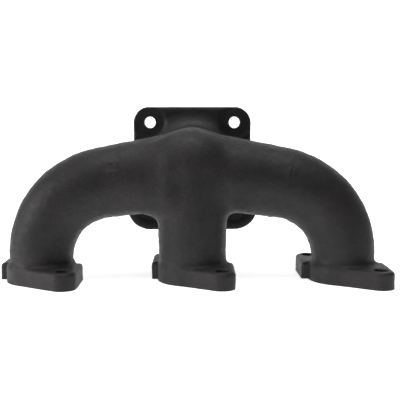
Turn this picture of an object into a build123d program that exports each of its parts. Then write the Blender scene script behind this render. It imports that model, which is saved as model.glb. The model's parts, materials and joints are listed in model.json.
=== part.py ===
from build123d import *
import os
from math import atan2, cos, hypot, radians, sin

# Three-port exhaust manifold, one iron casting, millimetres.
# Origin: centre of the middle port on the cylinder-head joint face (Z = 0).
# +Z points away from the cylinder head, +X runs along the row of ports,
# +Y points out of the outlet towards the exhaust pipe.
# The casting is divided at its natural regions into solids that meet face to face.

# ---- port flanges ----
port_pitch = 110.0
port_bore = 36.0
port_flange_thickness = 12.4
port_disc_diameter = 49.0
stud_hole = 10.0
stud_along = 20.3
stud_across = 30.5
ear_radius = 9.6
ear_corner = 2.5
port_flange_edge = 1.8
port_face_edge = 0.6

# ---- outer runners: an upright root, a bend, then an arm rising to the collector ----
root_diameter = 45.2
bend_radius = 53.5
bend_turn = 81.5
bend_end_diameter = 51.2
arm_centre_diameter = 58.2
arm_setback = 11.4
wall = 4.8

# ---- middle runner: an upright riser under a round crown ----
riser_root_diameter = 48.0
riser_top_diameter = 50.0
riser_drop = 35.3
crown_step = 0.5
crown_rise = 1.07

# ---- collector and outlet ----
collector_width = 64.0
collector_back = 37.0
outlet_height = 81.3
outlet_face = 53.0
outlet_flange_thickness = 10.0
neck_diameter = 58.0
outlet_bore = 48.0
neck_flare = 14.0
outlet_bolt_spacing = 65.8
outlet_bolt_hole = 9.0
bolt_clearance_diameter = 25.0
spotface_diameter = 23.0
spotface_depth = 0.8
upper_ear_side = 12.6
upper_ear_top = 11.9
upper_ear_corner = 12.0
lower_lobe_radius = 18.4
outlet_flange_edge = 1.6
outlet_face_edge = 0.6

# ---- worked out from the sizes above ----
port_bore_radius = port_bore / 2
root_radius = root_diameter / 2
bend_end_radius = bend_end_diameter / 2
arm_centre_radius = arm_centre_diameter / 2
riser_root_radius = riser_root_diameter / 2
riser_top_radius = riser_top_diameter / 2
neck_radius = neck_diameter / 2
outlet_bore_radius = outlet_bore / 2
collector_side = collector_width / 2
outlet_plate_front = outlet_face - outlet_flange_thickness
crown_back = neck_radius - riser_top_radius - crown_step
bolt_offset = outlet_bolt_spacing / 2

# Each outer runner lies in an upright plane through its port axis that leans towards +Y.
setback_angle = atan2(arm_setback, port_pitch)
arm_reach = hypot(port_pitch, arm_setback)
turn = radians(bend_turn)
bend_end_reach = bend_radius * (1 - cos(turn))
arm_length = (arm_reach - bend_end_reach) / sin(turn)

# Heights are set down from the outlet: the arms' centrelines meet a little below its centre, the
# straight root under each bend takes up the rest, and the riser ends under the arms.
bend_end_height = outlet_height - crown_rise - arm_length * cos(turn)
bend_start_height = bend_end_height - bend_radius * sin(turn)
riser_top_height = outlet_height - riser_drop

# Solids placed by the middle of their lower end.
standing = (Align.CENTER, Align.CENTER, Align.MIN)

os.makedirs("parts", exist_ok=True)


def runner_plane(side):
    """Upright plane of one outer runner: its X runs inwards from the port, its Y runs up."""
    inwards = Vector(-side * cos(setback_angle), sin(setback_angle), 0)
    return Plane(origin=(side * port_pitch, 0, 0), x_dir=inwards, z_dir=inwards.cross(Vector(0, 0, 1)))


def section_plane(side, reach, height, turned):
    """Plane square to an outer runner, where its centreline has turned by the given angle."""
    upright = runner_plane(side)
    direction = upright.x_dir * sin(turned) + Vector(0, 0, 1) * cos(turned)
    return Plane(origin=upright.from_local_coords((reach, height, 0)), x_dir=upright.z_dir, z_dir=direction)


def add_bend(side, start_radius, end_radius, mode):
    """Sweep the bend of one outer runner from the top of its upright root."""
    with BuildLine(runner_plane(side)) as centreline:
        CenterArc((bend_radius, bend_start_height), bend_radius, 180, -bend_turn)
    with BuildSketch(section_plane(side, 0, bend_start_height, 0)) as start:
        Circle(start_radius)
    with BuildSketch(section_plane(side, bend_end_reach, bend_end_height, turn)) as end:
        Circle(end_radius)
    sweep([start.sketch, end.sketch], path=centreline.line, multisection=True, mode=mode)


def add_arm(side, outer_radius, centre_radius, mode):
    """Cone of the arm of one outer runner, from the end of its bend to the middle of the manifold."""
    with Locations(section_plane(side, bend_end_reach, bend_end_height, turn)):
        Cone(outer_radius, centre_radius, arm_length, align=standing, mode=mode)


def add_root(x, radius, bottom, top, mode):
    """Upright straight duct length between two heights above the port at x."""
    with Locations((x, 0, bottom)):
        Cylinder(radius, top - bottom, align=standing, mode=mode)


def add_riser(bottom_radius, top_radius, bottom, mode):
    """Upright cone of the middle runner, from the given height to the collector."""
    with Locations((0, 0, bottom)):
        Cone(bottom_radius, top_radius, riser_top_height - bottom, align=standing, mode=mode)


def add_crown(riser_radius, crown_radius, mode):
    """The top of the middle runner: a ball that turns the riser backwards into the outlet neck."""
    add_root(0, riser_radius, riser_top_height, outlet_height, mode)
    with Locations((0, crown_back, outlet_height)):
        Sphere(crown_radius, mode=mode)
    with BuildSketch(Plane.XZ.offset(-crown_back)) as neck_round:
        with Locations((0, outlet_height)):
            Circle(crown_radius)
    extrude(neck_round.sketch, amount=crown_back - collector_back, mode=mode)


def bolt_circles(radius):
    """Four equal circles at the outlet bolt holes, for a sketch on an upright plane facing -Y."""
    with Locations((0, outlet_height)):
        with GridLocations(outlet_bolt_spacing, outlet_bolt_spacing, 2, 2):
            Circle(radius)


def finish(part, name):
    """Name one region of the casting and write it."""
    part.label = name
    export_step(part, f"parts/{name}.step")


# ---- port flanges: a disc with two opposite stud ears, each squared off on the port's centre line ----
for index, place in enumerate(("left", "centre", "right")):
    port_x = (index - 1) * port_pitch
    with BuildPart() as port_flange:
        with BuildSketch() as outline:
            with Locations((port_x, 0)):
                Circle(port_disc_diameter / 2)
                with Locations((stud_along, -stud_across), (-stud_along, stud_across)):
                    Circle(ear_radius)
            make_hull()
            with Locations((port_x, 0)):
                with Locations((stud_along, 0)):
                    Rectangle(ear_radius, stud_across, align=(Align.MIN, Align.MAX))
                with Locations((-stud_along, 0)):
                    Rectangle(ear_radius, stud_across, align=(Align.MAX, Align.MIN))
            outer_corners = outline.vertices().group_by(Axis.X)
            fillet([outer_corners[0].sort_by(Axis.Y)[0], outer_corners[-1].sort_by(Axis.Y)[-1]], ear_corner)
        extrude(amount=port_flange_thickness)
        fillet(port_flange.edges().group_by(Axis.Z)[-1], port_flange_edge)
        chamfer(port_flange.edges().group_by(Axis.Z)[0], port_face_edge)
        with Locations((port_x, 0, port_flange_thickness)):
            Hole(port_bore_radius)
            with Locations((stud_along, -stud_across), (-stud_along, stud_across)):
                Hole(stud_hole / 2)
    finish(port_flange.part, f"port_flange_{place}")

# ---- outer runners ----
for place, side in (("left", -1), ("right", 1)):
    with BuildPart() as elbow:
        port_x = side * port_pitch
        add_root(port_x, root_radius, port_flange_thickness, bend_start_height, Mode.ADD)
        add_bend(side, root_radius, bend_end_radius, Mode.ADD)
        add_root(port_x, port_bore_radius, port_flange_thickness, bend_start_height, Mode.SUBTRACT)
        add_bend(side, port_bore_radius, bend_end_radius - wall, Mode.SUBTRACT)
    finish(elbow.part, f"elbow_{place}")

    with BuildPart() as arm:
        add_arm(side, bend_end_radius, arm_centre_radius, Mode.ADD)
        add_arm(side, bend_end_radius - wall, arm_centre_radius - wall, Mode.SUBTRACT)
        split(bisect_by=Plane(origin=(side * collector_side, 0, 0), z_dir=(side, 0, 0)))
    finish(arm.part, f"arm_{place}")

# ---- middle runner ----
with BuildPart() as centre_riser:
    add_riser(riser_root_radius, riser_top_radius, port_flange_thickness, Mode.ADD)
    add_root(0, port_bore_radius, port_flange_thickness, bend_start_height, Mode.SUBTRACT)
    add_riser(port_bore_radius, riser_top_radius - wall, bend_start_height, Mode.SUBTRACT)
finish(centre_riser.part, "centre_riser")

# ---- collector: where both arms and the riser run together ----
with BuildPart() as collector:
    add_crown(riser_top_radius, neck_radius, Mode.ADD)
    for side in (-1, 1):
        add_arm(side, bend_end_radius, arm_centre_radius, Mode.ADD)
    add_crown(riser_top_radius - wall, outlet_bore_radius, Mode.SUBTRACT)
    for side in (-1, 1):
        add_arm(side, bend_end_radius - wall, arm_centre_radius - wall, Mode.SUBTRACT)
    for side in (-1, 1):
        split(bisect_by=Plane(origin=(side * collector_side, 0, 0), z_dir=(-side, 0, 0)))
    split(bisect_by=Plane(origin=(0, collector_back, 0), z_dir=(0, -1, 0)))
finish(collector.part, "collector")

# ---- outlet neck: flares out to the flange and is scalloped to clear the bolt heads ----
with BuildPart() as outlet_neck:
    flare_start = outlet_plate_front - neck_flare
    with BuildSketch(Plane.YZ) as profile:
        with BuildLine():
            flare = CenterArc((flare_start, outlet_height + neck_radius + neck_flare), neck_flare, 270, 90)
            Polyline(flare @ 1, (outlet_plate_front, outlet_height), (flare_start, outlet_height), flare @ 0)
        make_face()
    revolve(axis=Axis((0, 0, outlet_height), (0, 1, 0)))
    with BuildSketch(Plane.XZ.offset(-outlet_plate_front)):
        bolt_circles(bolt_clearance_diameter / 2)
    extrude(amount=outlet_plate_front, mode=Mode.SUBTRACT)
    with BuildSketch(Plane.XZ.offset(-outlet_plate_front)):
        with Locations((0, outlet_height)):
            Circle(outlet_bore_radius)
    extrude(amount=outlet_plate_front, mode=Mode.SUBTRACT)
    split(bisect_by=Plane(origin=(0, collector_back, 0), z_dir=(0, 1, 0)))
finish(outlet_neck.part, "outlet_neck")

# ---- outlet flange: square upper ears, round lower lobes ----
with BuildPart() as outlet_flange:
    with BuildSketch(Plane.XZ.offset(-outlet_plate_front)) as plate:
        with Locations((0, outlet_height - bolt_offset)):
            with GridLocations(outlet_bolt_spacing, 0, 2, 1):
                Circle(lower_lobe_radius)
        make_hull()
        with Locations((0, outlet_height + bolt_offset + upper_ear_top)):
            Rectangle(
                outlet_bolt_spacing + 2 * upper_ear_side, outlet_bolt_spacing + upper_ear_top,
                align=(Align.CENTER, Align.MAX),
            )
        fillet(plate.vertices().group_by(Axis.Z)[-1], upper_ear_corner)
    extrude(amount=-outlet_flange_thickness)
    fillet(outlet_flange.edges().group_by(Axis.Y)[0], outlet_flange_edge)
    chamfer(outlet_flange.edges().group_by(Axis.Y)[-1], outlet_face_edge)
    with BuildSketch(Plane.XZ.offset(-outlet_plate_front)):
        bolt_circles(spotface_diameter / 2)
    extrude(amount=-spotface_depth, mode=Mode.SUBTRACT)
    with BuildSketch(Plane.XZ.offset(-outlet_plate_front)):
        bolt_circles(outlet_bolt_hole / 2)
        with Locations((0, outlet_height)):
            Circle(outlet_bore_radius)
    extrude(amount=-outlet_flange_thickness, mode=Mode.SUBTRACT)
finish(outlet_flange.part, "outlet_flange")
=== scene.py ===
import json
import math

import bmesh
import bpy
import numpy as np
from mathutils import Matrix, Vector


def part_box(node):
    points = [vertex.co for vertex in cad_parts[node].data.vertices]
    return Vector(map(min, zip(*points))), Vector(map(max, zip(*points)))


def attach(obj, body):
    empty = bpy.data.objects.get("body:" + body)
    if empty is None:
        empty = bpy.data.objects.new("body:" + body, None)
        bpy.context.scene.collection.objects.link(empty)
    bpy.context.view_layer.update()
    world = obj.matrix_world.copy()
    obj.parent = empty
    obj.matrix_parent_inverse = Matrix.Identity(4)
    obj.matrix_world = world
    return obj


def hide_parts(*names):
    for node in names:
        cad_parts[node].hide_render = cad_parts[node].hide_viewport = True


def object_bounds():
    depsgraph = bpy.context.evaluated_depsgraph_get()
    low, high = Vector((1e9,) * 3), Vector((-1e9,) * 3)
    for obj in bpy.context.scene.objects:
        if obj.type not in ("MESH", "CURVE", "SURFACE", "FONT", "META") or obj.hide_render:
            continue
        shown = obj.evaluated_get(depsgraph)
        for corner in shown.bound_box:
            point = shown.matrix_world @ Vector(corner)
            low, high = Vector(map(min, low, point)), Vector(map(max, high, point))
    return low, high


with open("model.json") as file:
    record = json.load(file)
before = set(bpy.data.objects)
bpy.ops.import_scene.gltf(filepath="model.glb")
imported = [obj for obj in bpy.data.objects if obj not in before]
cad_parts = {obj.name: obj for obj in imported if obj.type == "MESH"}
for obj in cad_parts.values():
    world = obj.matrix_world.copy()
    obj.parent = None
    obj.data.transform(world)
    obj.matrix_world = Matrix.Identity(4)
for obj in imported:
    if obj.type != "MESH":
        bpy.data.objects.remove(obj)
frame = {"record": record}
cad_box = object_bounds()

# The manifold is one sand casting. Its skin is worked out here as a distance field in millimetres, with
# rounded joins between the tubes and the flanges, and is then divided where the CAD nodes meet.

MM = 0.001
VOXEL = 1.0


# ---------------------------------------------------------------- sizes, from the frame

def node_box(name):
    """Lowest and highest corners of a CAD node in millimetres."""
    low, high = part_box(name)
    return np.array(low) / MM, np.array(high) / MM


mounts = {m["name"]: m for m in frame["record"]["mounts"]}
port_low, port_high = node_box("port_flange_centre")
port_pitch = mounts["port_studs_right"]["pos_m"][0] / MM
flange_top = port_high[2]
port_bore_radius = mounts["port_bore_centre"]["dims"]["r_mm"]
stud_hole_radius = mounts["port_studs_centre"]["dims"]["hole_r_mm"]
outlet_height = mounts["outlet_bolts"]["pos_m"][2] / MM
outlet_face = mounts["outlet_face"]["pos_m"][1] / MM
outlet_hole_radius = mounts["outlet_bolts"]["dims"]["hole_r_mm"]
outlet_bore_radius = mounts["outlet_bore"]["dims"]["r_mm"]
bolt_offset = mounts["outlet_bolts"]["dims"]["spacing_x_mm"] / 2
plate_low, plate_high = node_box("outlet_flange")
neck_low, _ = node_box("outlet_neck")
collector_low, collector_high = node_box("collector")
_, riser_high = node_box("centre_riser")

# Sizes of the casting that the frame doesn't give, in millimetres.
WALL = 4.8
RUN_ON = 8.0                  # how far a flange runs on past its joint face before it is cut
DISC_RADIUS = 24.5
EAR_RADIUS = 9.6
STUD_ALONG = 20.3
STUD_ACROSS = 30.5
PORT_RIM = 2.6                # rounding of the port flanges' edges
PORT_FILLET = 4.0
ROOT_RADIUS = 22.6
BEND_START = 17.6
BEND_RADIUS = 53.5
BEND_TURN = math.radians(81.5)
BEND_END_RADIUS = 25.6
ARM_CENTRE_RADIUS = 28.6
ARM_SETBACK = 11.4
RISER_ROOT_RADIUS = 24.0
RISER_TOP_RADIUS = 25.0
CROWN_BACK = 3.5              # how far the crown's middle lies behind the riser's
NECK_RADIUS = 28.5
NECK_FLARE = 14.0
PLATE_RIM = 1.6
UPPER_SIDE = 12.6             # from the upper bolts out to the plate's sides
UPPER_CORNER = 12.0
LOBE_RADIUS = 18.4
LOBE_JOIN = 6.0
BOLT_CLEARANCE_RADIUS = 12.5
BOLT_CLEARANCE_LENGTH = 14.0
BOLT_CLEARANCE_EDGE = 1.0
SPOTFACE_RADIUS = 11.5
SPOTFACE_DEPTH = 0.8
SPOTFACE_REACH = 8.0
PASSAGE_JOIN = 5.0
LOW_JOIN = 10.0               # blend between the runners under the arms
CROWN_JOIN = 5.0              # and round the crown
FRONT_JOIN_LOW = 18.0         # what the left arm's front has on top of that, low down
FRONT_JOIN_HIGH = 8.0         # and high up
SKIN_LUMPS = 0.6              # more than the skin's lumps stand out of a flange
BOX_INSET = 0.03              # how far the skin keeps inside the CAD box

# The as-cast surface.
LUMPS = ((14.0, 0.20, 3), (5.0, 0.10, 5), (2.4, 0.07, 8))    # wavelength, height, seed
SOOT_LUMPS = (3.5, 0.20, 31)
RIDGE_HEIGHT = 0.30
RIDGE_HALF_WIDTH = 0.8
FLASH_HEIGHT = 0.45
FLASH_HALF_WIDTH = 3.0
MARK_HEIGHT = 0.5
MARKS = (                     # two ends as x, z, x, z, then half the width
    (-52.9, 86.8, -52.9, 86.2, 0.9), (-53.4, 84.3, -53.2, 83.7, 0.9), (-52.0, 80.6, -52.4, 80.2, 0.9),
    (-55.2, 80.4, -54.6, 80.0, 0.8), (-54.3, 78.2, -53.9, 77.8, 0.8), (-58.8, 86.2, -56.4, 86.6, 0.7),
    (-59.2, 80.4, -57.2, 79.8, 0.7), (68.7, 82.4, 67.2, 77.3, 0.7), (71.2, 81.0, 70.8, 77.0, 0.5),
)


# ---------------------------------------------------------------- distance fields

def smooth_union(a, b, width):
    """Union of two fields with a soft blend."""
    h = np.maximum(width - np.abs(a - b), 0) / width
    return np.minimum(a, b) - h * h * width / 4


def round_union(a, b, radius):
    """Union of two fields with a round fillet."""
    u = np.maximum(radius - a, 0)
    v = np.maximum(radius - b, 0)
    return np.maximum(radius, np.minimum(a, b)) - np.sqrt(u * u + v * v)


def round_cut(a, b, radius):
    """Field a with field b taken out, its new edge rounded."""
    return -round_union(-a, b, radius)


def box_2d(x, y, half_x, half_y):
    """Distance to a rectangle."""
    qx = np.abs(x) - half_x
    qy = np.abs(y) - half_y
    return np.hypot(np.maximum(qx, 0), np.maximum(qy, 0)) + np.minimum(np.maximum(qx, qy), 0)


def slab(outline, height, low, high, edge):
    """A plate: an outline field given thickness, with rounded edges."""
    a = outline + edge
    b = np.abs(height - (low + high) / 2) - (high - low) / 2 + edge
    return np.hypot(np.maximum(a, 0), np.maximum(b, 0)) + np.minimum(np.maximum(a, b), 0) - edge


def two_circle_hull(x, y, ax, ay, a_radius, bx, by, b_radius):
    """Distance to the hull of two circles."""
    length = math.hypot(bx - ax, by - ay)
    ux, uy = (bx - ax) / length, (by - ay) / length
    along = (x - ax) * ux + (y - ay) * uy
    across = np.abs((y - ay) * ux - (x - ax) * uy)
    lean = (a_radius - b_radius) / length
    upright = math.sqrt(1 - lean * lean)
    k = across * -lean + along * upright
    side = across * upright + along * lean - a_radius
    at_a = np.hypot(across, along) - a_radius
    at_b = np.hypot(across, along - length) - b_radius
    return np.where(k < 0, at_a, np.where(k > upright * length, at_b, side))


def runner(x, y, z, side, root, bend_end, centre):
    """Distance to one outer runner: an upright root, a bend and a widening arm."""
    lean = math.atan2(ARM_SETBACK, port_pitch)
    reach = math.hypot(port_pitch, ARM_SETBACK)
    inwards = (-side * math.cos(lean), math.sin(lean))
    u = (x - side * port_pitch) * inwards[0] + y * inwards[1]
    v = (x - side * port_pitch) * inwards[1] - y * inwards[0]
    w = z - BEND_START
    root_d = np.hypot(np.hypot(u, v), np.maximum(w, 0)) - root
    angle = np.clip(np.arctan2(w, BEND_RADIUS - u), 0, BEND_TURN)
    bend_u = BEND_RADIUS * (1 - np.cos(angle))
    bend_w = BEND_RADIUS * np.sin(angle)
    radius = root + (bend_end - root) * angle / BEND_TURN
    bend_d = np.sqrt((u - bend_u) ** 2 + (w - bend_w) ** 2 + v * v) - radius
    end_u = BEND_RADIUS * (1 - math.cos(BEND_TURN))
    end_w = BEND_RADIUS * math.sin(BEND_TURN)
    run = (reach - end_u) / math.sin(BEND_TURN)
    s = (u - end_u) * math.sin(BEND_TURN) + (w - end_w) * math.cos(BEND_TURN)
    s = np.clip(s, 0, run)
    arm_u = end_u + s * math.sin(BEND_TURN)
    arm_w = end_w + s * math.cos(BEND_TURN)
    radius = bend_end + (centre - bend_end) * s / run
    arm_d = np.sqrt((u - arm_u) ** 2 + (w - arm_w) ** 2 + v * v) - radius
    return np.minimum(np.minimum(root_d, bend_d), arm_d)


def smooth_step(value, start, end):
    """0 up to the start, 1 past the end, and an easy slope between."""
    t = np.clip((value - start) / (end - start), 0, 1)
    return t * t * (3 - 2 * t)


def middle_duct(x, y, z, root, top, neck):
    """Distance to the middle runner, which widens into a round crown and turns into the outlet neck."""
    crown = smooth_step(z, riser_high[2], outlet_height)
    taper = np.clip((z - flange_top) / (riser_high[2] - flange_top), 0, 1)
    radius = root + (top - root) * taper + (neck - top) * crown
    over = np.maximum(z - outlet_height, 0)
    riser = np.sqrt(x * x + (y - CROWN_BACK * crown) ** 2 + over * over) - radius
    pipe = np.maximum(np.hypot(x, z - outlet_height) - neck, CROWN_BACK - y)
    return np.minimum(riser, pipe)


def port_flange(x, y, z, port_x):
    """Distance to one cylinder-head flange, which runs on below the joint face to be cut there."""
    px = x - port_x
    front = two_circle_hull(px, y, 0, 0, DISC_RADIUS, STUD_ALONG, -STUD_ACROSS, EAR_RADIUS)
    back = two_circle_hull(px, y, 0, 0, DISC_RADIUS, -STUD_ALONG, STUD_ACROSS, EAR_RADIUS)
    half = EAR_RADIUS / 2
    front_side = box_2d(px - STUD_ALONG - half, y + STUD_ACROSS / 2, half, STUD_ACROSS / 2)
    back_side = box_2d(px + STUD_ALONG + half, y - STUD_ACROSS / 2, half, STUD_ACROSS / 2)
    outline = np.minimum(np.minimum(front, front_side), np.minimum(back, back_side))
    return slab(outline, z, -RUN_ON, flange_top, PORT_RIM)


def outlet_plate(x, y, z):
    """Distance to the outlet flange, which runs on past its mating face to be cut there."""
    lobe_z = outlet_height - bolt_offset
    lobes = np.hypot(np.maximum(np.abs(x) - bolt_offset, 0), z - lobe_z) - LOBE_RADIUS
    half_width = bolt_offset + UPPER_SIDE
    top = plate_high[2]
    half_height = (top - lobe_z) / 2
    square = box_2d(x, z - (top + lobe_z) / 2, half_width - UPPER_CORNER, half_height - UPPER_CORNER)
    outline = smooth_union(lobes, square - UPPER_CORNER, LOBE_JOIN)
    return slab(outline, y, plate_low[1], plate_high[1] + RUN_ON, PLATE_RIM)


def passages(x, y, z):
    """Distance to the gas passages, which run on out of the ports and the outlet."""
    left, right = (
        runner(x, y, z, side, port_bore_radius, BEND_END_RADIUS - WALL, ARM_CENTRE_RADIUS - WALL)
        for side in (-1, 1)
    )
    middle = middle_duct(x, y, z, port_bore_radius, RISER_TOP_RADIUS - WALL, outlet_bore_radius)
    return smooth_union(np.minimum(left, right), middle, PASSAGE_JOIN)


def bolt_room(x, y, z, sx, sz):
    """Distances to what one bolt head clears out of the neck, and to its spotface on the plate."""
    across = np.hypot(x - sx * bolt_offset, z - outlet_height - sz * bolt_offset)
    half = BOLT_CLEARANCE_LENGTH / 2
    clearance = np.maximum(across - BOLT_CLEARANCE_RADIUS, np.abs(y - plate_low[1] + half) - half)
    half = SPOTFACE_REACH / 2
    spotface = np.abs(y - plate_low[1] + half) - half - SPOTFACE_DEPTH
    return clearance, np.maximum(across - SPOTFACE_RADIUS, spotface)


def casting(x, y, z):
    """Distance to the whole casting before it is machined."""
    left, right = (
        runner(x, y, z, side, ROOT_RADIUS, BEND_END_RADIUS, ARM_CENTRE_RADIUS) for side in (-1, 1)
    )
    middle = middle_duct(x, y, z, RISER_ROOT_RADIUS, RISER_TOP_RADIUS, NECK_RADIUS)
    left_front = smooth_step(-x, 2, 20) * smooth_step(-y, -4, 8) * smooth_step(z, 38, 54)
    join = LOW_JOIN + (CROWN_JOIN - LOW_JOIN) * smooth_step(z, 52, 74)
    front_join = FRONT_JOIN_LOW + (FRONT_JOIN_HIGH - FRONT_JOIN_LOW) * smooth_step(z, 60, 78)
    body = smooth_union(np.minimum(left, right), middle, join + front_join * left_front)
    body = round_union(body, outlet_plate(x, y, z), NECK_FLARE)
    for sx in (-1, 1):
        for sz in (-1, 1):
            clearance, spotface = bolt_room(x, y, z, sx, sz)
            body = np.maximum(round_cut(body, clearance, BOLT_CLEARANCE_EDGE), -spotface)
    for port_x in (-port_pitch, 0, port_pitch):
        body = round_union(body, port_flange(x, y, z, port_x), PORT_FILLET)
    return np.maximum(body, -passages(x, y, z))


# ---------------------------------------------------------------- meshing

def surface_net(field, origin, step):
    """Vertices and quads of a field's zero surface, one vertex in each grid cell that it crosses."""
    inside = field < 0
    count = np.zeros([n - 1 for n in field.shape], np.int8)
    corners = [(i, j, k) for i in (0, 1) for j in (0, 1) for k in (0, 1)]
    shape = count.shape
    for i, j, k in corners:
        count += inside[i:i + shape[0], j:j + shape[1], k:k + shape[2]]
    cells = np.argwhere((count > 0) & (count < 8))
    total = np.zeros((len(cells), 3))
    crossings = np.zeros(len(cells))
    for a in corners:
        for axis in range(3):
            if a[axis]:
                continue
            b = tuple(c + (n == axis) for n, c in enumerate(a))
            fa = field[tuple((cells + a).T)]
            fb = field[tuple((cells + b).T)]
            crossed = (fa < 0) != (fb < 0)
            t = np.where(crossed, fa / np.where(crossed, fa - fb, 1), 0)
            place = np.array(a) + t[:, None] * (np.array(b) - np.array(a))
            total += np.where(crossed[:, None], place, 0)
            crossings += crossed
    points = origin + step * (cells + total / crossings[:, None])
    index = np.full(shape, -1, np.int64)
    index[tuple(cells.T)] = np.arange(len(cells))
    quads = []
    for axis in range(3):
        one, two = (axis + 1) % 3, (axis + 2) % 3
        low = [slice(1, n - 1) for n in field.shape]
        low[axis] = slice(0, field.shape[axis] - 1)
        high = list(low)
        high[axis] = slice(1, field.shape[axis])
        a, b = inside[tuple(low)], inside[tuple(high)]
        edges = np.argwhere(a != b) + [s.start for s in low]
        outwards = inside[tuple(edges.T)]
        ring = []
        for d1, d2 in ((-1, -1), (0, -1), (0, 0), (-1, 0)):
            cell = edges.copy()
            cell[:, one] += d1
            cell[:, two] += d2
            ring.append(index[tuple(cell.T)])
        ring = np.stack(ring, 1)
        ring[~outwards] = ring[~outwards][:, ::-1]
        quads.append(ring)
    return points, np.concatenate(quads)


def value_noise(points, wavelength, seed):
    """Smooth noise from -1 to 1 with lumps of about the given size."""
    lattice = np.random.default_rng(seed).uniform(-1, 1, (32, 32, 32))
    at = points / wavelength
    base = np.floor(at).astype(int)
    t = at - base
    t = t * t * (3 - 2 * t)
    total = np.zeros(len(points))
    for i in (0, 1):
        for j in (0, 1):
            for k in (0, 1):
                weight = np.abs(1 - i - t[:, 0]) * np.abs(1 - j - t[:, 1]) * np.abs(1 - k - t[:, 2])
                total += weight * lattice[tuple(((base + (i, j, k)) % 32).T)]
    return total


def vertex_normals(points, quads):
    """Outward unit normals of a closed quad mesh."""
    a, b, c, d = (points[quads[:, n]] for n in range(4))
    face = np.cross(c - a, d - b)
    total = np.zeros_like(points)
    for n in range(4):
        for axis in range(3):
            total[:, axis] += np.bincount(quads[:, n], face[:, axis], len(points))
    return total / np.maximum(np.linalg.norm(total, axis=1), 1e-12)[:, None]


def neighbour_mean(values, quads):
    """Each vertex's mean over the neighbours along its edges."""
    total = np.zeros_like(values)
    count = np.zeros(len(values))
    for n in range(4):
        here, there = quads[:, n], quads[:, (n + 1) % 4]
        for one, other in ((here, there), (there, here)):
            count += np.bincount(one, minlength=len(values))
            for axis in range(values.shape[1]):
                total[:, axis] += np.bincount(one, values[other, axis], len(values))
    return total / count[:, None]


def edge_wear(points, quads, normals):
    """0 on flat and hollow skin, rising to 1 on the tight outward edges that handling rubs."""
    bend = ((points - neighbour_mean(points, quads)) * normals).sum(1)[:, None] / VOXEL ** 2
    for _ in range(3):
        bend = (bend + neighbour_mean(bend, quads)) / 2
    return np.clip((bend[:, 0] - 0.05) / 0.12, 0, 1)


def parting_ridge(x, y, z):
    """Height of the ridge that the mould's parting line leaves along the sides of the ducts."""
    lean = math.atan2(ARM_SETBACK, port_pitch)
    off_runner = (np.abs(x) - port_pitch) * math.sin(lean) + y * math.cos(lean)
    in_riser = (np.abs(x) < collector_high[0]) & (z < riser_high[2])
    off = np.where(in_riser, y, off_runner)
    on_duct = smooth_step(z, flange_top + 1, flange_top + 4) * (1 - smooth_step(y, 20, 26))
    on_duct = on_duct * np.where(in_riser, 1 - smooth_step(z, 40, 46), smooth_step(np.abs(x), 6, 20))
    points = np.stack([x, y, z], 1)
    ragged = RIDGE_HEIGHT + 0.25 * value_noise(points, 7.0, 21) + 0.12 * value_noise(points, 2.2, 22)
    flash = FLASH_HEIGHT * value_noise(points, 3.0, 23) * np.exp(-(off / FLASH_HALF_WIDTH) ** 2)
    from_bend_middle = np.hypot(np.abs(x) - port_pitch + BEND_RADIUS, z - BEND_START)
    inner_bend = 1 - smooth_step(from_bend_middle, 28, 34)
    rough_side = np.maximum(inner_bend, in_riser * smooth_step(-x, 12, 20))
    ridge = np.maximum(ragged, 0.05) * np.exp(-(off / RIDGE_HALF_WIDTH) ** 2)
    return on_duct * (ridge + flash * rough_side)


def raised_marks(x, y, z):
    """Plain raised pads and bars where the foundry would mark the front of the arms."""
    height = np.zeros(len(x))
    for ax, az, bx, bz, half_width in MARKS:
        length = (bx - ax) ** 2 + (bz - az) ** 2
        t = np.clip(((x - ax) * (bx - ax) + (z - az) * (bz - az)) / length, 0, 1)
        off = np.hypot(x - ax - t * (bx - ax), z - az - t * (bz - az))
        slope = 1 - smooth_step(off, half_width - 0.4, half_width + 0.6)
        height = np.maximum(height, MARK_HEIGHT * slope)
    return np.where(y < 0, height, 0)


def build_casting():
    """The whole casting as a closed mesh in millimetres, and its skin's normals, wear and soot.

    The flanges still run on past the joint faces, which are cut when it is divided."""
    margin = 3 * VOXEL
    low = np.array([-port_pitch + port_low[0], port_low[1], port_low[2]]) - margin
    high = np.array([port_pitch + port_high[0], plate_high[1], plate_high[2]]) + margin
    axes = [np.arange(a, b, VOXEL) for a, b in zip(low, high)]
    x, y, z = np.meshgrid(*axes, indexing="ij", sparse=True)
    points, quads = surface_net(casting(x, y, z), low, VOXEL)
    normals = vertex_normals(points, quads)
    x, y, z = points.T
    inside = 1 - smooth_step(passages(x, y, z), 0.6, 2.0)
    uneven = np.zeros(len(points))
    for wavelength, height, seed in LUMPS:
        uneven += height * value_noise(points, wavelength, seed)
    uneven += (1 - inside) * (parting_ridge(x, y, z) + raised_marks(x, y, z))
    wavelength, height, seed = SOOT_LUMPS
    uneven += inside * height * value_noise(points, wavelength, seed)
    wear = edge_wear(points, quads, normals) * (1 - inside)
    points = points + normals * uneven[:, None]
    lowest, highest = np.array(cad_box) / MM
    points[:, 0] = np.clip(points[:, 0], lowest[0] + BOX_INSET, highest[0] - BOX_INSET)
    points[:, 1] = np.maximum(points[:, 1], lowest[1] + BOX_INSET)
    points[:, 2] = np.minimum(points[:, 2], highest[2] - BOX_INSET)
    return points, quads, {"skin_normal": vertex_normals(points, quads), "wear": wear, "inside": inside}


# ---------------------------------------------------------------- dividing the casting into its pieces

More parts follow.
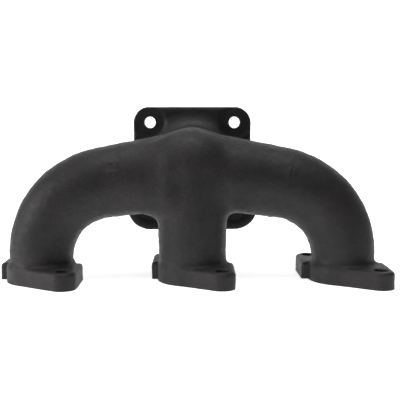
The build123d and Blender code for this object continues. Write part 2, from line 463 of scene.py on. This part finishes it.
def casting_bmesh(points, quads, skin):
    """The casting as a bmesh in metres whose vertices remember what is known of the undivided skin."""
    mesh = bpy.data.meshes.new("casting")
    mesh.from_pydata((points * MM).tolist(), [], quads.tolist())
    for name, values in skin.items():
        kind, field = ("FLOAT_VECTOR", "vector") if values.ndim == 2 else ("FLOAT", "value")
        mesh.attributes.new(name, kind, "POINT").data.foreach_set(field, values.ravel())
    bm = bmesh.new()
    bm.from_mesh(mesh)
    bpy.data.meshes.remove(mesh)
    return bm


def keep_side(bm, point, outwards):
    """Cut a closed bmesh by a plane, drop what lies outwards of it, and close the cut."""
    geometry = bm.verts[:] + bm.edges[:] + bm.faces[:]
    cut = bmesh.ops.bisect_plane(
        bm, geom=geometry, dist=1e-7, plane_co=Vector(point) * MM, plane_no=outwards, clear_outer=True,
    )
    rim = [e for e in cut["geom_cut"] if isinstance(e, bmesh.types.BMEdge) and e.is_boundary]
    if rim:
        bmesh.ops.triangle_fill(bm, edges=rim, use_beauty=True, normal=outwards)
    return bm


def divide(bm, point, outwards):
    """The two closed halves of a bmesh: behind the plane, then in front of it."""
    front = bm.copy()
    return keep_side(bm, point, Vector(outwards)), keep_side(front, point, -Vector(outwards))


def arm_start(side):
    """The plane where an outer runner's bend ends: a point on it, and the way the arm runs."""
    lean = math.atan2(ARM_SETBACK, port_pitch)
    reach = BEND_RADIUS * (1 - math.cos(BEND_TURN))
    height = BEND_START + BEND_RADIUS * math.sin(BEND_TURN)
    inwards = Vector((-side * math.cos(lean), math.sin(lean), 0))
    point = Vector((side * port_pitch, 0, height)) + inwards * reach
    return point, inwards * math.sin(BEND_TURN) + Vector((0, 0, math.cos(BEND_TURN)))


def divide_casting(bm):
    """Closed bmeshes of the casting's regions, by the name of the CAD node that each one stands for."""
    bm = keep_side(bm, (0, 0, 0), Vector((0, 0, -1)))
    bm = keep_side(bm, (0, outlet_face, 0), Vector((0, 1, 0)))
    pieces = {}
    bm, pieces["outlet_flange"] = divide(bm, (0, plate_low[1] - SKIN_LUMPS, 0), (0, 1, 0))
    flanges, bm = divide(bm, (0, 0, flange_top + SKIN_LUMPS), (0, 0, 1))
    half = port_pitch / 2
    pieces["port_flange_left"], flanges = divide(flanges, (-half, 0, 0), (1, 0, 0))
    pieces["port_flange_centre"], pieces["port_flange_right"] = divide(flanges, (half, 0, 0), (1, 0, 0))
    bm, pieces["outlet_neck"] = divide(bm, (0, neck_low[1], 0), (0, 1, 0))
    left, bm = divide(bm, (collector_low[0], 0, 0), (1, 0, 0))
    middle, right = divide(bm, (collector_high[0], 0, 0), (1, 0, 0))
    for name, side, runner_part in (("left", -1, left), ("right", 1, right)):
        point, direction = arm_start(side)
        pieces["elbow_" + name], pieces["arm_" + name] = divide(runner_part, point, direction)
    pieces["centre_riser"], pieces["collector"] = divide(middle, (0, 0, riser_high[2]), (0, 0, 1))
    return pieces


# ---------------------------------------------------------------- drilled holes

def hole_cutter(centre, axis, radius, low, high):
    """A drill shape along Y or Z through a flange between two planes, which breaks both edges."""
    edge = 0.5
    beyond = 2.0
    rings = (
        (low - beyond, radius + edge + beyond),
        (low + edge, radius),
        (high - edge, radius),
        (high + beyond, radius + edge + beyond),
    )
    steps = 72
    bm = bmesh.new()
    loops = []
    for along, r in rings:
        loop = []
        for n in range(steps):
            angle = 2 * math.pi * n / steps
            across = (r * math.cos(angle), r * math.sin(angle))
            if axis == "Z":
                place = (centre[0] + across[0], centre[1] + across[1], along)
            else:
                place = (centre[0] + across[0], along, centre[1] - across[1])
            loop.append(bm.verts.new(Vector(place) * MM))
        loops.append(loop)
    for lower, upper in zip(loops, loops[1:]):
        for n in range(steps):
            m = (n + 1) % steps
            bm.faces.new((lower[n], lower[m], upper[m], upper[n]))
    bm.faces.new(loops[0][::-1])
    bm.faces.new(loops[-1])
    return bm


def drill(obj, cutters):
    """Cut the given drill shapes out of an object."""
    mesh = bpy.data.meshes.new("drill")
    joined = bmesh.new()
    for cutter in cutters:
        part = bpy.data.meshes.new("part")
        cutter.to_mesh(part)
        joined.from_mesh(part)
        bpy.data.meshes.remove(part)
    joined.to_mesh(mesh)
    tool = bpy.data.objects.new("drill", mesh)
    bpy.context.scene.collection.objects.link(tool)
    cut = obj.modifiers.new("holes", "BOOLEAN")
    cut.operation = "DIFFERENCE"
    cut.solver = "EXACT"
    cut.object = tool
    evaluated = obj.evaluated_get(bpy.context.evaluated_depsgraph_get())
    done = bpy.data.meshes.new_from_object(evaluated)
    obj.modifiers.clear()
    obj.data = done
    bpy.data.objects.remove(tool)


# ---------------------------------------------------------------- materials

class Nodes:
    """Short ways to build a procedural material."""

    def __init__(self, name):
        self.material = bpy.data.materials.new(name)
        self.material.use_nodes = True
        self.nodes = self.material.node_tree.nodes
        self.links = self.material.node_tree.links
        self.shader = self.nodes["Principled BSDF"]
        self.place = self.nodes.new("ShaderNodeTexCoord").outputs["Object"]

    def plug(self, value, socket):
        """Link an output to a socket, or set the socket's value."""
        if isinstance(value, bpy.types.NodeSocket):
            self.links.new(value, socket)
        elif isinstance(value, tuple):
            socket.default_value = (*value, 1)
        else:
            socket.default_value = value

    def noise(self, scale, detail=3.0, roughness=0.55, distortion=0.0):
        node = self.nodes.new("ShaderNodeTexNoise")
        node.inputs["Scale"].default_value = scale
        node.inputs["Detail"].default_value = detail
        node.inputs["Roughness"].default_value = roughness
        node.inputs["Distortion"].default_value = distortion
        self.links.new(self.place, node.inputs["Vector"])
        return node.outputs["Fac"]

    def attribute(self, name):
        node = self.nodes.new("ShaderNodeAttribute")
        node.attribute_name = name
        return node.outputs["Fac"]

    def ramp(self, source, *stops):
        node = self.nodes.new("ShaderNodeValToRGB")
        while len(node.color_ramp.elements) < len(stops):
            node.color_ramp.elements.new(0.5)
        for element, (place, colour) in zip(node.color_ramp.elements, stops):
            element.position = place
            element.color = (*colour, 1) if isinstance(colour, tuple) else (colour, colour, colour, 1)
        self.links.new(source, node.inputs["Fac"])
        return node.outputs["Color"]

    def mix(self, kind, factor, a, b):
        node = self.nodes.new("ShaderNodeMixRGB")
        node.blend_type = kind
        self.plug(factor, node.inputs["Fac"])
        self.plug(a, node.inputs["Color1"])
        self.plug(b, node.inputs["Color2"])
        return node.outputs["Color"]

    def bump(self, height, distance, strength, below=None):
        node = self.nodes.new("ShaderNodeBump")
        node.inputs["Distance"].default_value = distance
        node.inputs["Strength"].default_value = strength
        self.links.new(height, node.inputs["Height"])
        if below:
            self.links.new(below, node.inputs["Normal"])
        return node.outputs["Normal"]

    def finish(self, colour, roughness, normal):
        self.plug(colour, self.shader.inputs["Base Color"])
        self.plug(roughness, self.shader.inputs["Roughness"])
        self.links.new(normal, self.shader.inputs["Normal"])
        return self.material


def cast_iron_material():
    """Black heat-resistant coating over sand-cast iron, rubbed on its edges and sooty in its passages."""
    m = Nodes("coated_cast_iron")
    patches = m.noise(38, 4)
    lumps = m.noise(240, 3)
    grain = m.noise(1000, 3, 0.6)
    dust = m.noise(2600, 2, 0.6)
    coat = m.ramp(patches, (0.35, (0.0145, 0.0130, 0.0131)), (0.65, (0.0230, 0.0205, 0.0202)))
    coat = m.mix("MULTIPLY", 0.6, coat, m.ramp(grain, (0.40, 0.7), (0.62, 1.35)))
    coat = m.mix("MIX", m.ramp(dust, (0.60, 0.0), (0.74, 0.25)), coat, (0.060, 0.058, 0.055))
    rubbed = m.mix("MULTIPLY", 1.0, m.attribute("wear"), m.ramp(lumps, (0.38, 0.15), (0.60, 1.0)))
    coat = m.mix("MIX", rubbed, coat, (0.055, 0.052, 0.050))
    soot = m.ramp(patches, (0.35, (0.010, 0.009, 0.008)), (0.62, (0.030, 0.018, 0.011)))
    soot = m.mix("MULTIPLY", 0.8, soot, m.ramp(lumps, (0.35, 0.5), (0.65, 1.5)))
    inside = m.attribute("inside")
    colour = m.mix("MIX", inside, coat, soot)
    roughness = m.ramp(lumps, (0.30, 0.48), (0.70, 0.64))
    roughness = m.mix("MIX", inside, roughness, (0.85, 0.85, 0.85))
    m.shader.inputs["Specular IOR Level"].default_value = 0.3
    normal = m.bump(lumps, 0.0006, 0.35)
    normal = m.bump(grain, 0.00022, 0.45, normal)
    normal = m.bump(dust, 0.0001, 0.5, normal)
    return m.finish(colour, roughness, normal)


def machined_material():
    """Milled iron of the joint faces, dulled by storage oil."""
    m = Nodes("machined_iron")
    marks = m.nodes.new("ShaderNodeTexWave")
    marks.wave_type = "RINGS"
    marks.rings_direction = "SPHERICAL"
    marks.inputs["Scale"].default_value = 240
    marks.inputs["Distortion"].default_value = 0.6
    marks.inputs["Detail"].default_value = 2
    m.links.new(m.place, marks.inputs["Vector"])
    stain = m.noise(60, 5)
    colour = m.ramp(stain, (0.35, (0.085, 0.082, 0.078)), (0.70, (0.19, 0.185, 0.178)))
    colour = m.mix("MULTIPLY", 0.5, colour, m.ramp(marks.outputs["Fac"], (0.2, 0.75), (0.8, 1.15)))
    m.shader.inputs["Metallic"].default_value = 0.8
    roughness = m.ramp(stain, (0.3, 0.36), (0.7, 0.52))
    return m.finish(colour, roughness, m.bump(marks.outputs["Fac"], 0.0001, 0.35))


# ---------------------------------------------------------------- pieces

def restore_skin(mesh):
    """Shade each piece as part of the undivided skin, with crisp machined edges."""
    crisp = math.radians(38)
    kept = math.radians(25)
    mesh.shade_smooth()
    mesh.set_sharp_from_angle(angle=crisp)
    corner = np.zeros(len(mesh.loops) * 3, np.float32)
    mesh.corner_normals.foreach_get("vector", corner)
    corner = corner.reshape(-1, 3)
    stored = np.zeros(len(mesh.vertices) * 3, np.float32)
    mesh.attributes["skin_normal"].data.foreach_get("vector", stored)
    owner = np.zeros(len(mesh.loops), np.int32)
    mesh.loops.foreach_get("vertex_index", owner)
    stored = stored.reshape(-1, 3)[owner]
    length = np.linalg.norm(stored, axis=1)
    stored = stored / np.maximum(length, 1e-9)[:, None]
    same = (length > 0.5) & ((stored * corner).sum(1) > math.cos(kept))
    normals = np.where(same[:, None], stored, corner)
    mesh.attributes.remove(mesh.attributes["skin_normal"])
    mesh.normals_split_custom_set(normals)


def mark_machined(mesh):
    """Give the joint faces, which lie in the Z = 0 and outlet planes, the machined material."""
    near = 1e-6
    square_on = 0.99
    for polygon in mesh.polygons:
        on_head = polygon.center.z < near and polygon.normal.z < -square_on
        on_pipe = polygon.center.y > outlet_face * MM - near and polygon.normal.y > square_on
        polygon.material_index = 1 if on_head or on_pipe else 0


iron = cast_iron_material()
machined = machined_material()
regions = divide_casting(casting_bmesh(*build_casting()))

drilled = {"outlet_flange": [
    hole_cutter((sx * bolt_offset, outlet_height + sz * bolt_offset), "Y", outlet_hole_radius,
                plate_low[1], plate_high[1])
    for sx in (-1, 1) for sz in (-1, 1)
]}
for name, port_x in (("left", -port_pitch), ("centre", 0), ("right", port_pitch)):
    drilled["port_flange_" + name] = [
        hole_cutter((port_x + sign * STUD_ALONG, -sign * STUD_ACROSS), "Z", stud_hole_radius,
                    0, flange_top)
        for sign in (-1, 1)
    ]

for node, region in regions.items():
    mesh = bpy.data.meshes.new(node + "_skin")
    region.to_mesh(mesh)
    region.free()
    piece = bpy.data.objects.new(node + "_skin", mesh)
    bpy.context.scene.collection.objects.link(piece)
    if node in drilled:
        drill(piece, drilled[node])
    piece.data.materials.clear()
    piece.data.materials.append(iron)
    piece.data.materials.append(machined)
    mark_machined(piece.data)
    restore_skin(piece.data)
    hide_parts(node)
    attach(piece, "root")


# ---------------------------------------------------------------- floor, lights and camera

def floor_and_backdrop():
    """A pale sweep: a floor that curves up into a wall behind."""
    width, front, back, height, bend = 4.0, -0.26, 1.6, 2.2, 0.6
    profile = [(front, 0.0), (back - bend, 0.0)]
    steps = 16
    for n in range(1, steps + 1):
        angle = math.pi / 2 * n / steps
        profile.append((back - bend + bend * math.sin(angle), bend - bend * math.cos(angle)))
    profile.append((back, height))
    vertices = [(x, y, z) for y, z in profile for x in (-width / 2, width / 2)]
    faces = [(2 * n, 2 * n + 1, 2 * n + 3, 2 * n + 2) for n in range(len(profile) - 1)]
    mesh = bpy.data.meshes.new("sweep")
    mesh.from_pydata(vertices, [], faces)
    mesh.shade_smooth()
    sweep = bpy.data.objects.new("sweep", mesh)
    bpy.context.scene.collection.objects.link(sweep)
    material = bpy.data.materials.new("white_paper")
    material.use_nodes = True
    shader = material.node_tree.nodes["Principled BSDF"]
    shader.inputs["Base Color"].default_value = (0.92, 0.92, 0.92, 1)
    shader.inputs["Roughness"].default_value = 0.9
    shader.inputs["Specular IOR Level"].default_value = 0.1
    shader.inputs["Emission Color"].default_value = (1, 1, 1, 1)
    shader.inputs["Emission Strength"].default_value = 0.75
    mesh.materials.append(material)


def softbox(name, place, target, width, height, power):
    """A rectangular lamp at a place, facing a target."""
    lamp = bpy.data.lights.new(name, "AREA")
    lamp.shape = "RECTANGLE"
    lamp.size = width
    lamp.size_y = height
    lamp.energy = power
    obj = bpy.data.objects.new(name, lamp)
    obj.location = place
    obj.rotation_euler = (Vector(target) - Vector(place)).to_track_quat("-Z", "Y").to_euler()
    bpy.context.scene.collection.objects.link(obj)


floor_and_backdrop()
middle = (0, 0, 0.06)
softbox("overhead", (0.0, -0.1, 1.2), middle, 1.0, 0.8, 9)
softbox("key", (-1.35, -0.4, 0.5), middle, 0.7, 0.9, 13)
world = bpy.data.worlds.new("studio")
world.use_nodes = True
world.node_tree.nodes["Background"].inputs["Color"].default_value = (1, 1, 1, 1)
world.node_tree.nodes["Background"].inputs["Strength"].default_value = 0.1
bpy.context.scene.world = world
bpy.context.scene.view_settings.view_transform = "Standard"

CAMERA_PLACE = (-0.001, -0.51677, 0.11505)
CAMERA_DOWN = 6.27
CAMERA_RIGHT = 0.72
camera_data = bpy.data.cameras.new("camera")
camera_data.sensor_width = 36.0
camera_data.lens = 64.5
camera = bpy.data.objects.new("camera", camera_data)
camera.location = CAMERA_PLACE
camera.rotation_euler = (math.radians(90 - CAMERA_DOWN), 0, math.radians(-CAMERA_RIGHT))
bpy.context.scene.collection.objects.link(camera)
bpy.context.scene.camera = camera
